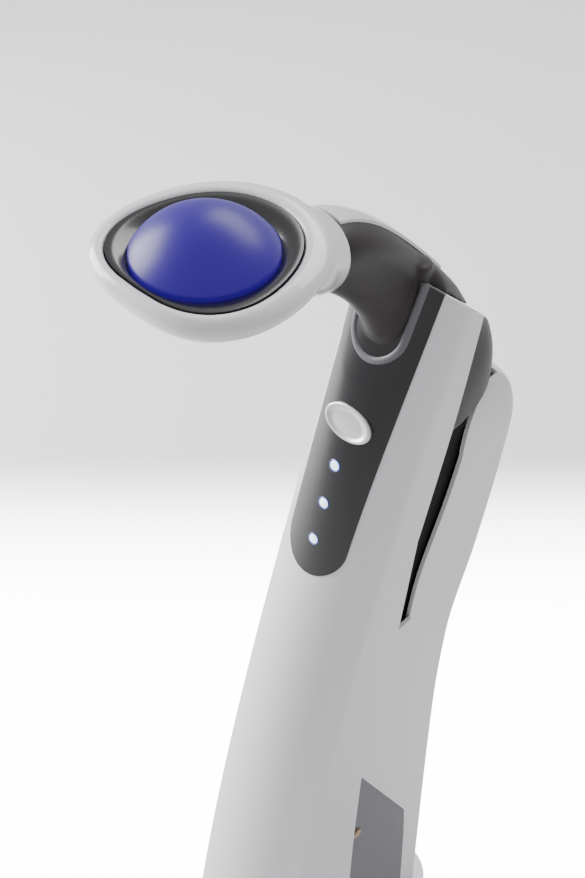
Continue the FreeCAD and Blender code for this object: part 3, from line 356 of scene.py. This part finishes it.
FINISHES = {
    "pearl_white": finish("pearl_paint", (0.83, 0.83, 0.85), (0.79, 0.79, 0.81), 0.32,
                          grain=(1400.0, 0.03), change=0.04, coat=0.7, coat_roughness=0.08),
    "soft_brown": finish("soft_touch_skin", (0.022, 0.016, 0.014), (0.014, 0.011, 0.010), 0.46,
                         grain=(2600.0, 0.2), change=0.1, sheen=0.05, specular=0.35),
    "piano_black": finish("piano_black", (0.007, 0.007, 0.008), (0.004, 0.004, 0.005), 0.24,
                          grain=(500.0, 0.01), change=0.04, coat=0.6, coat_roughness=0.12),
    "dark_plastic": finish("slot_black", (0.008, 0.007, 0.007), (0.005, 0.005, 0.005), 0.7,
                           grain=(1800.0, 0.3), specular=0.2),
    "grey_plastic": finish("satin_grey", (0.15, 0.15, 0.165), (0.12, 0.12, 0.13), 0.42,
                           grain=(1600.0, 0.2)),
    "frame_aluminium": finish("cast_aluminium", (0.62, 0.63, 0.65), (0.5, 0.51, 0.53), 0.38,
                              grain=(700.0, 0.25), change=0.15, metallic=1.0),
    "bright_metal": finish("bright_emblem", (0.88, 0.88, 0.89), (0.82, 0.82, 0.84), 0.3,
                           grain=(900.0, 0.03), metallic=0.6),
    "steel": finish("turned_steel", (0.6, 0.61, 0.63), (0.45, 0.46, 0.48), 0.3,
                    grain=(1500.0, 0.2), change=0.12, metallic=1.0),
    "bronze": finish("sintered_bronze", (0.6, 0.42, 0.22), (0.45, 0.3, 0.15), 0.4,
                     grain=(1900.0, 0.3), change=0.12, metallic=1.0),
    "black_rubber": finish("black_rubber", (0.022, 0.022, 0.022), (0.014, 0.014, 0.014), 0.7,
                           grain=(1500.0, 0.35)),
    "circuit_board": finish("solder_mask", (0.02, 0.13, 0.055), (0.012, 0.09, 0.04), 0.35,
                            grain=(600.0, 0.1), coat=0.4),
    "chip_black": finish("moulded_chip", (0.02, 0.02, 0.02), (0.012, 0.012, 0.012), 0.55,
                         grain=(2400.0, 0.3)),
    "lit_lens": finish("lit_lens", (0.8, 0.88, 1.0), (0.7, 0.8, 0.98), 0.12,
                       grain=(400.0, 0.02), coat=1.0, glow=(0.75, 0.86, 1.0), glow_strength=2.2),
    "led_emitter": finish("led_emitter", (0.9, 0.94, 1.0), (0.82, 0.88, 1.0), 0.3,
                          glow=(0.6, 0.75, 1.0), glow_strength=2.0),
    "diffuser": finish("frosted_diffuser", (0.82, 0.82, 0.88), (0.76, 0.76, 0.82), 0.6),
    "violet_dome": finish("violet_dome", (0.014, 0.002, 0.16), (0.010, 0.001, 0.12), 0.42,
                          grain=(500.0, 0.015), change=0.05, coat=0.3, coat_roughness=0.35,
                          specular=0.3, glow=(0.05, 0.0, 0.5), glow_strength=0.34),
}
LENS_RING = finish("lens_ring", (0.02, 0.05, 0.25), (0.015, 0.035, 0.18), 0.2, coat=1.0,
                   glow=(0.02, 0.07, 0.5), glow_strength=0.6)


def dress_nodes():
    for row in frame["record"]["subparts"]:
        mesh = NODES[row["node"]].data
        mesh.materials.clear()
        mesh.materials.append(FINISHES[row["material_slot"]])


def dress(piece, slot, body, *nodes, material=None):
    piece.data.materials.clear()
    piece.data.materials.append(material or FINISHES[slot])
    if nodes:
        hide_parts(*nodes)
    if body:
        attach(piece, body)
    return piece


dress_nodes()


# ------------------------------------------------------------------ front shell
def make_front_cover():
    def surface(across, along):
        def section(z):
            front = front_y(z)
            return arch_spot(across, half_width(z), front, front + FRONT_DEPTH, station(SEAM, z))

        top = SHOULDER_POINT.z
        for _ in range(SETTLE):
            top = shoulder_height(section(top)[1])
        z = FOOT_TOP + (top - FOOT_TOP) * along
        x, y = section(z)
        return Vector((x, y, z))

    bm = patch(96, 110, surface)
    bmesh.ops.recalc_face_normals(bm, faces=bm.faces)
    piece = finish_piece("front_cover", bm)
    face_sheet(piece)
    thicken(piece, SHELL_WALL, 0.9)
    dress(piece, "pearl_white", "arm", "front_shell")


# ------------------------------------------------------------------ panel on the front
PANEL_BOTTOM = -97.0
COLLAR_BOTTOM = 21.0
STRIP_TOP = 118.0
NARROWEST = 0.6


def panel_half(up):
    """The black inlay widens towards the arm's top."""
    return 20.0 + 5.0 * ease(up, PANEL_BOTTOM, STRIP_TOP)


def front_strip(name, bottom, top, inset, proud, depth, rounding):
    """A strip on the arm's front that stands proud, with a round lower end."""
    round_end = panel_half(bottom) - inset

    def surface(across, along):
        up = bottom + (top - bottom) * along ** 1.3
        reach = panel_half(up) - inset
        if up < bottom + round_end:
            reach *= math.sqrt(max(0.0, 1 - ((bottom + round_end - up) / round_end) ** 2))
        return arm_spot((2 * across - 1) * max(reach, NARROWEST), up, proud)

    bm = patch(48, 120, surface)
    piece = finish_piece(name, bm)
    face_sheet(piece, towards=(0, -1, 0))
    thicken(piece, depth, rounding)
    return piece


def make_panel():
    panel = front_strip("indicator_panel", PANEL_BOTTOM, STRIP_TOP, 0.0, 0.7, 2.2, 0.5)
    dress(panel, "piano_black", "arm", "control_panel")
    collar = front_strip("socket_collar_cover", COLLAR_BOTTOM, STRIP_TOP, 0.4, 1.6, 2.6, 0.7)
    dress(collar, "piano_black", "arm", "socket_collar")


LIP_BOTTOM = 38.6
LIP_ARC = 15.6
LIP_SPREAD = 2.0
LIP_LEG = 62.0
LEG_SHARE = 0.3
LIP_HALF_WIDE = 2.1
LIP_HALF_PROUD = 1.9
LIP_PROUD = 0.9


def lip_path(share):
    """The lip's middle line: down one leg, round the arc and up the other leg."""
    if LEG_SHARE <= share <= 1 - LEG_SHARE:
        angle = math.pi * ((share - LEG_SHARE) / (1 - 2 * LEG_SHARE) - 0.5)
        return LIP_ARC * math.sin(angle), LIP_BOTTOM + LIP_ARC * (1 - math.cos(angle))
    side = -1 if share < 0.5 else 1
    rise = (abs(share - 0.5) - 0.5 + LEG_SHARE) / LEG_SHARE
    return side * (LIP_ARC + LIP_SPREAD * rise), LIP_BOTTOM + LIP_ARC + LIP_LEG * rise


def make_lip():
    """Grey U-shaped lip around the neck's tongue."""
    step = 0.002

    def surface(around, along):
        x, up = lip_path(along)
        after = lip_path(min(along + step, 1.0))
        before = lip_path(max(along - step, 0.0))
        run = Vector((after[0] - before[0], after[1] - before[1])).normalized()
        angle = 2 * math.pi * around
        x += run.y * LIP_HALF_WIDE * math.cos(angle)
        up -= run.x * LIP_HALF_WIDE * math.cos(angle)
        return arm_spot(x, up, LIP_PROUD + LIP_HALF_PROUD * math.sin(angle))

    bm = patch(20, 140, surface, joined=True)
    close_ends(bm)
    piece = finish_piece("tongue_lip", bm)
    dress(piece, "grey_plastic", "arm", "socket_lip")


# ------------------------------------------------------------------ emblem and lenses
def on_panel(bm, up, out):
    """Moves a piece made flat about the origin to its place on the badge plane."""
    turn = Matrix((
        (1, UP_ARM.x, OUT_ARM.x, 0), (0, UP_ARM.y, OUT_ARM.y, 0), (0, UP_ARM.z, OUT_ARM.z, 0),
        (0, 0, 0, 1)))
    spot = (BADGE + UP_ARM * up + OUT_ARM * out) * MM
    bmesh.ops.transform(bm, matrix=Matrix.Translation(spot) @ turn, verts=bm.verts)


def turned(profile, steps=48):
    """A round piece: a profile of radius and height, in millimetres, spun about Z."""
    bm = bmesh.new()
    verts = [bm.verts.new(Vector((r, 0, h)) * MM) for r, h in profile]
    edges = [bm.edges.new(pair) for pair in zip(verts, verts[1:])]
    bmesh.ops.spin(bm, geom=verts + edges, cent=(0, 0, 0), axis=(0, 0, 1),
                   angle=2 * math.pi, steps=steps, use_merge=True)
    bmesh.ops.remove_doubles(bm, verts=bm.verts, dist=1e-6)
    bmesh.ops.recalc_face_normals(bm, faces=bm.faces)
    return bm


EMBLEM_HALF_WIDE = 15.0
EMBLEM_HALF_HIGH = 9.5


def make_emblem():
    """A plain oval plate with a raised rim."""
    bm = turned([(0, -0.5), (EMBLEM_HALF_WIDE, -0.5), (14.95, 0.8), (14.4, 1.4), (12.9, 1.4),
                 (12.3, 0.9), (12.2, 0.7), (9.0, 0.95), (0, 1.1)], steps=72)
    for vert in bm.verts:
        vert.co.y *= EMBLEM_HALF_HIGH / EMBLEM_HALF_WIDE
    on_panel(bm, 0.0, 0.0)
    piece = finish_piece("oval_emblem", bm)
    dress(piece, "bright_metal", "arm", "emblem_plate")


# Each lens's node and its distance up the arm from the badge.
LENSES = (("status_lens_upper", -26.0), ("status_lens_middle", -50.0),
          ("status_lens_lower", -74.0))


def make_lenses():
    for number, (node, up) in enumerate(LENSES):
        z = BADGE.z + up * UP_ARM.z
        sink = (skin_y(0, z) - (BADGE.y + up * UP_ARM.y)) / OUT_ARM.y
        glass = turned([(0, 1.55), (1.0, 1.5), (2.0, 1.3), (2.6, 0.95), (2.9, 0.4), (2.9, -2.0),
                        (0, -2.0)])
        on_panel(glass, up, sink)
        dress(finish_piece("lens_glow_%d" % number, glass), "lit_lens", "arm", node)
        ring = turned([(2.85, -1.0), (2.85, 0.9), (3.1, 1.05), (3.45, 0.95), (3.5, 0.6),
                       (3.5, -1.0)])
        on_panel(ring, up, sink)
        dress(finish_piece("lens_ring_%d" % number, ring), "lit_lens", "arm",
              material=LENS_RING)


# ------------------------------------------------------------------ rear shell
LOBE_Y = 129.0
LOBE_Z = 523.0
LOBE_RADIUS = 25.0
REAR_BULGE = 12.0
ROUND_START = LOBE_Z - 12
ROUND_MIDDLE = LOBE_Y + 4
TOP_WIDTH = 0.72


def make_rear_cover():
    top = LOBE_Z + LOBE_RADIUS - 0.4

    def surface(across, along):
        z = FOOT_TOP + (top - FOOT_TOP) * (1 - (1 - along) ** 1.35)
        half = half_width(z) - 3.0
        edge = station(EDGE, z)
        tip = station(BACK, z) + REAR_BULGE
        bulge = REAR_BULGE
        if z > ROUND_START:
            rise = (z - ROUND_START) / (LOBE_Z + LOBE_RADIUS - ROUND_START)
            room = math.sqrt(max(0.0, 1 - rise ** 2))
            edge = ROUND_MIDDLE - (ROUND_MIDDLE - station(EDGE, ROUND_START)) * room
            edge = max(edge, station(EDGE, z) - 30)
            tip = ROUND_MIDDLE + (station(BACK, ROUND_START) + REAR_BULGE - ROUND_MIDDLE) * room
            half = half * (TOP_WIDTH + (1 - TOP_WIDTH) * room)
            bulge = REAR_BULGE * room
        x, y = arch_spot(across, half, tip, tip - bulge, edge)
        return Vector((x, y, z))

    bm = patch(96, 120, surface)
    piece = finish_piece("rear_cover", bm)
    face_sheet(piece)
    thicken(piece, SHELL_WALL, 0.8)
    dress(piece, "pearl_white", "arm", "rear_shell")


# ------------------------------------------------------------------ neck
NECK = (
    # centre y, centre z, forward tilt of the axis, half width, half depth
    (0, 688, 74, 17, 11), (25, 674, 62, 20, 18.0), (54, 647, 52, 21, 19.8),
    (73, 622, 32, 24.5, 23), (91, 592, 6, 27, 29), (91, 570, 0, 26, 29),
)
HEAD_COLLAR = ((12, 682, 68, 21.5, 17.5), (2, 687.5, 72, 25, 18.5), (-8, 693, 78, 29, 17),
               (-24, 699, 84, 30, 11))


def between(rows, share):
    """Reads a list of number rows at a share of its length, on a smooth cubic."""
    place = share * (len(rows) - 1)
    low = min(int(place), len(rows) - 2)
    t = place - low
    before = rows[max(low - 1, 0)]
    after = rows[min(low + 2, len(rows) - 1)]
    values = []
    for p0, p1, p2, p3 in zip(before, rows[low], rows[low + 1], after):
        values.append(0.5 * (2 * p1 + (p2 - p0) * t + (2 * p0 - 5 * p1 + 4 * p2 - p3) * t ** 2
                             + (3 * p1 - p0 - 3 * p2 + p3) * t ** 3))
    return values


def oval_spot(row, share, grow=0.0):
    y, z, tilt, half_x, half_deep = row
    tilt = math.radians(tilt)
    angle = 2 * math.pi * share
    deep = (half_deep + grow) * math.cos(angle)
    return Vector(((half_x + grow) * math.sin(angle), y + math.cos(tilt) * deep,
                   z + math.sin(tilt) * deep))


def oval_tube(rows, around, along, grow=0.0):
    bm = patch(around, along, lambda a, b: oval_spot(between(rows, b), a, grow), joined=True)
    close_ends(bm)
    return bm


def keep_side(bm, spot, normal):
    """Cuts a closed body on a plane, keeps the side the normal points to, and closes it."""
    bmesh.ops.bisect_plane(bm, geom=bm.verts[:] + bm.edges[:] + bm.faces[:],
                           plane_co=spot * MM, plane_no=normal, clear_inner=True)
    close_ends(bm)


# The tongue that runs down from the neck's underside into the socket:
# distance up the arm, distance out of the badge plane, half width, half depth.
TONGUE = ((43.6, -3.5, 3.0, 1.2), (45.5, -3.6, 8.6, 3.6), (51.0, -3.5, 12.2, 6.0),
          (62.0, -3.0, 14.4, 8.5), (76.0, -3.5, 15.0, 11.5), (92.0, -6.0, 14.0, 13.0))


def tongue_body():
    rows = []
    for up, out, half_x, half_deep in TONGUE:
        spot = BADGE + UP_ARM * up + OUT_ARM * out
        rows.append((spot.y, spot.z, -math.degrees(LEAN), half_x, half_deep))
    return oval_tube(rows, 56, 40)


def slim_front(bm):
    """Draws the neck's front in where it passes between the socket's rails."""
    for vert in bm.verts:
        spot = vert.co / MM - BADGE
        inward = ease(spot.dot(OUT_ARM), -20.0, -2.0) * ease(-spot.dot(UP_ARM), -116.0, -84.0)
        vert.co.x *= 1 - 0.4 * inward


# The plug fills the gap over the shoulder, cut between two planes set this far above the arm's
# sloping top at the pivot.
PLUG_LOW = 0.5
PLUG_HIGH = 8.0


def make_neck_skin():
    """One soft skin from the head's collar to the arm's rear, over the pivot."""
    bm = bmesh.new()
    node_copy(bm, "stalk_skin")
    plug = oval_tube(NECK, 72, 60, grow=-0.3)
    keep_side(plug, SHOULDER_POINT + SHOULDER_NORMAL * PLUG_LOW, SHOULDER_NORMAL)
    keep_side(plug, SHOULDER_POINT + SHOULDER_NORMAL * PLUG_HIGH, -SHOULDER_NORMAL)
    add_bm(bm, plug)
    slim_front(bm)
    add_bm(bm, tongue_body())
    node_copy(bm, "shoulder_skin")
    piece = finish_piece("neck_skin", bm)
    melt_together(piece, 1.0, 10)
    dress(piece, "soft_brown", None, "stalk_skin", "shoulder_skin")
    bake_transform(piece)


# ------------------------------------------------------------------ head
HEAD = Vector((0, -47, 714))
PLAN_RADIUS = 37.0
PLAN_HARMONICS = (-1.4, -0.4, -1.7, -0.6)
RIM = 5.6


def plan_spot(share, grow, z):
    """The head's shield-shaped plan; it grows more at the rear."""
    angle = 2 * math.pi * share
    radius = PLAN_RADIUS
    for order, size in enumerate(PLAN_HARMONICS):
        radius += size * math.cos((order + 1) * angle)
    rearness = (1 - math.cos(angle)) / 2
    radius += grow * (1 + 1.2 * rearness) if grow > 0 else grow
    return HEAD + Vector((radius * math.sin(angle), -radius * math.cos(angle), z))


# Growth beyond the bezel and height, from the inner lip over the rim, under
# the bowl, and back up inside.
POD_PROFILE = (
    (0.1, -6.6), (0.1, -1.2), (0.5, -0.2), (1.4, 0.35), (2.6, 0.0), (4.3, -1.3), (5.4, -3.2),
    (RIM, -5.0), (5.2, -7.2), (4.2, -9.6), (1.0, -13.4), (-3.5, -17.2), (-9.0, -21.0),
    (-14.0, -23.6), (-20.0, -25.4), (-28.0, -25.8), (-34.0, -25.9),
)
POD_INSIDE = (
    (-34.0, -23.2), (-22.0, -22.8), (-11.5, -19.0), (-6.0, -14.8), (-2.2, -11.0), (-1.9, -6.6),
)


LIP_DEPTH = 10.0


def make_head_pod():
    outer = patch(120, 96, lambda a, b: plan_spot(a, *between(POD_PROFILE, b)), joined=True)
    inner = patch(120, 40, lambda a, b: plan_spot(a, *between(POD_INSIDE, b)), joined=True)
    add_bm(outer, inner)
    bmesh.ops.remove_doubles(outer, verts=outer.verts, dist=1e-5)
    loops = [e for e in outer.edges if e.is_boundary]
    lip = [e for e in loops if e.verts[0].co.z > (HEAD.z - LIP_DEPTH) * MM]
    keel = [e for e in loops if e not in lip]
    bmesh.ops.bridge_loops(outer, edges=lip)
    bmesh.ops.holes_fill(outer, edges=keel)
    bmesh.ops.recalc_face_normals(outer, faces=outer.faces)
    collar = oval_tube(HEAD_COLLAR, 72, 30)
    add_bm(outer, collar)
    piece = finish_piece("head_pod", outer)
    melt_together(piece, 0.8, 14)
    dress(piece, "pearl_white", "stalk", "head_rim", "head_base")


BEZEL_RADIUS = 29.5
BEZEL_SINK = 2.6
BEZEL_CROWN = 0.8


def make_bezel():
    """Dark gloss dish from the dome's gap out to the rim."""
    def surface(across, along):
        angle = 2 * math.pi * across
        inner = HEAD + Vector((BEZEL_RADIUS * math.sin(angle), -BEZEL_RADIUS * math.cos(angle),
                               -BEZEL_SINK))
        outer = plan_spot(across, -0.2, -0.3)
        spot = inner.lerp(outer, along)
        spot.z += BEZEL_CROWN * math.sin(math.pi * along)
        return spot

    piece = finish_piece("bezel_dish", patch(120, 12, surface, joined=True))
    face_sheet(piece, towards=(0, 0, 1))
    thicken(piece, 2.0, 0.3)
    dress(piece, "piano_black", "stalk", "bezel_ring")


DOME_RADIUS = 29.0
DOME_RISE = 15.5
DOME_BASE = -0.7
DOME_SKIRT = -5.0
DOME_WALL = 2.4
INNER_REACH = 0.9


def make_dome():
    """A ball's cap on a short skirt, hollow underneath."""
    ball = (DOME_RADIUS ** 2 + DOME_RISE ** 2) / (2 * DOME_RISE)
    reach = math.asin(DOME_RADIUS / ball)
    crown = DOME_BASE + DOME_RISE
    steps = 40
    profile = []
    for step in range(steps + 1):
        angle = reach * step / steps
        profile.append((ball * math.sin(angle), crown - ball * (1 - math.cos(angle))))
    inside = DOME_RADIUS - DOME_WALL
    profile += [(DOME_RADIUS, DOME_SKIRT), (inside, DOME_SKIRT), (inside, DOME_BASE)]
    for step in range(steps, -1, -8):
        angle = INNER_REACH * reach * step / steps
        drop = ball * (1 - math.cos(angle))
        profile.append((ball * math.sin(angle), crown - DOME_WALL - drop))
    bm = turned(profile, steps=120)
    bmesh.ops.translate(bm, verts=bm.verts, vec=HEAD * MM)
    piece = finish_piece("dome_cover", bm)
    dress(piece, "violet_dome", "palm", "palm_dome")


# ------------------------------------------------------------------ studio
# Distances ahead of the camera's foot where the floor's painted light, a white emission that
# only camera rays see, fades from white to pale.
GLOW_FAR = 0.95
GLOW_NEAR = 0.68


def make_floor():
    bm = bmesh.new()
    bmesh.ops.create_grid(bm, x_segments=2, y_segments=2, size=6.0)
    floor = finish_piece("studio_floor", bm, smooth=False)
    floor.location.z = -0.0005
    material = bpy.data.materials.new("pale_floor")
    material.use_nodes = True
    nodes, links = material.node_tree.nodes, material.node_tree.links
    shader = nodes["Principled BSDF"]
    shader.inputs["Roughness"].default_value = 0.9
    shader.inputs["Specular IOR Level"].default_value = 0.1
    place = nodes.new("ShaderNodeTexCoord")
    speck = nodes.new("ShaderNodeTexNoise")
    speck.inputs["Scale"].default_value = 3.0
    tint = nodes.new("ShaderNodeMix")
    tint.data_type = "RGBA"
    tint.inputs[6].default_value = (0.80, 0.80, 0.81, 1)
    tint.inputs[7].default_value = (0.82, 0.82, 0.83, 1)
    links.new(place.outputs["Object"], speck.inputs["Vector"])
    links.new(speck.outputs["Fac"], tint.inputs[0])
    links.new(tint.outputs[2], shader.inputs["Base Color"])
    # Painted light: the floor emits white light seen only by camera rays, strongest near the
    # camera's foot and fading to pale farther away.
    turn = nodes.new("ShaderNodeMapping")
    spot = Vector((CAMERA_SPOT.x, CAMERA_SPOT.y, 0))
    spot.rotate(Matrix.Rotation(-CAMERA_TURN, 3, "Z"))
    turn.inputs["Location"].default_value = -spot
    turn.inputs["Rotation"].default_value = (0.0, 0.0, -CAMERA_TURN)
    apart = nodes.new("ShaderNodeSeparateXYZ")
    fade = nodes.new("ShaderNodeMapRange")
    fade.interpolation_type = "SMOOTHSTEP"
    fade.inputs["From Min"].default_value = GLOW_FAR
    fade.inputs["From Max"].default_value = GLOW_NEAR
    fade.inputs["To Min"].default_value = 0.35
    fade.inputs["To Max"].default_value = 14.0
    seen = nodes.new("ShaderNodeLightPath")
    glow = nodes.new("ShaderNodeMath")
    glow.operation = "MULTIPLY"
    links.new(place.outputs["Object"], turn.inputs["Vector"])
    links.new(turn.outputs["Vector"], apart.inputs["Vector"])
    links.new(apart.outputs["Y"], fade.inputs["Value"])
    links.new(fade.outputs["Result"], glow.inputs[0])
    links.new(seen.outputs["Is Camera Ray"], glow.inputs[1])
    links.new(glow.outputs[0], shader.inputs["Emission Strength"])
    shader.inputs["Emission Color"].default_value = (1, 1, 1, 1)
    floor.data.materials.append(material)


def soft_light(name, spot, target, size, power, colour=(1, 1, 1)):
    data = bpy.data.lights.new(name, "AREA")
    data.shape = "RECTANGLE"
    data.size, data.size_y = size
    data.energy = power
    data.color = colour
    light = bpy.data.objects.new(name, data)
    bpy.context.scene.collection.objects.link(light)
    light.location = spot
    light.rotation_euler = (Vector(target) - Vector(spot)).to_track_quat("-Z", "Y").to_euler()


def light_studio():
    middle = (0, 0, 0.55)
    soft_light("left_softbox", (-1.5, -0.5, 1.0), middle, (1.1, 1.4), 62)
    soft_light("rear_softbox", (-0.4, 1.6, 1.9), middle, (1.8, 1.0), 30)
    world = bpy.data.worlds.new("studio_air")
    world.use_nodes = True
    world.node_tree.nodes["Background"].inputs["Color"].default_value = (0.93, 0.93, 0.95, 1)
    world.node_tree.nodes["Background"].inputs["Strength"].default_value = 0.7
    bpy.context.scene.world = world


make_front_cover()
make_panel()
make_lip()
make_emblem()
make_lenses()
make_rear_cover()
make_neck_skin()
make_head_pod()
make_bezel()
make_dome()
make_floor()
light_studio()
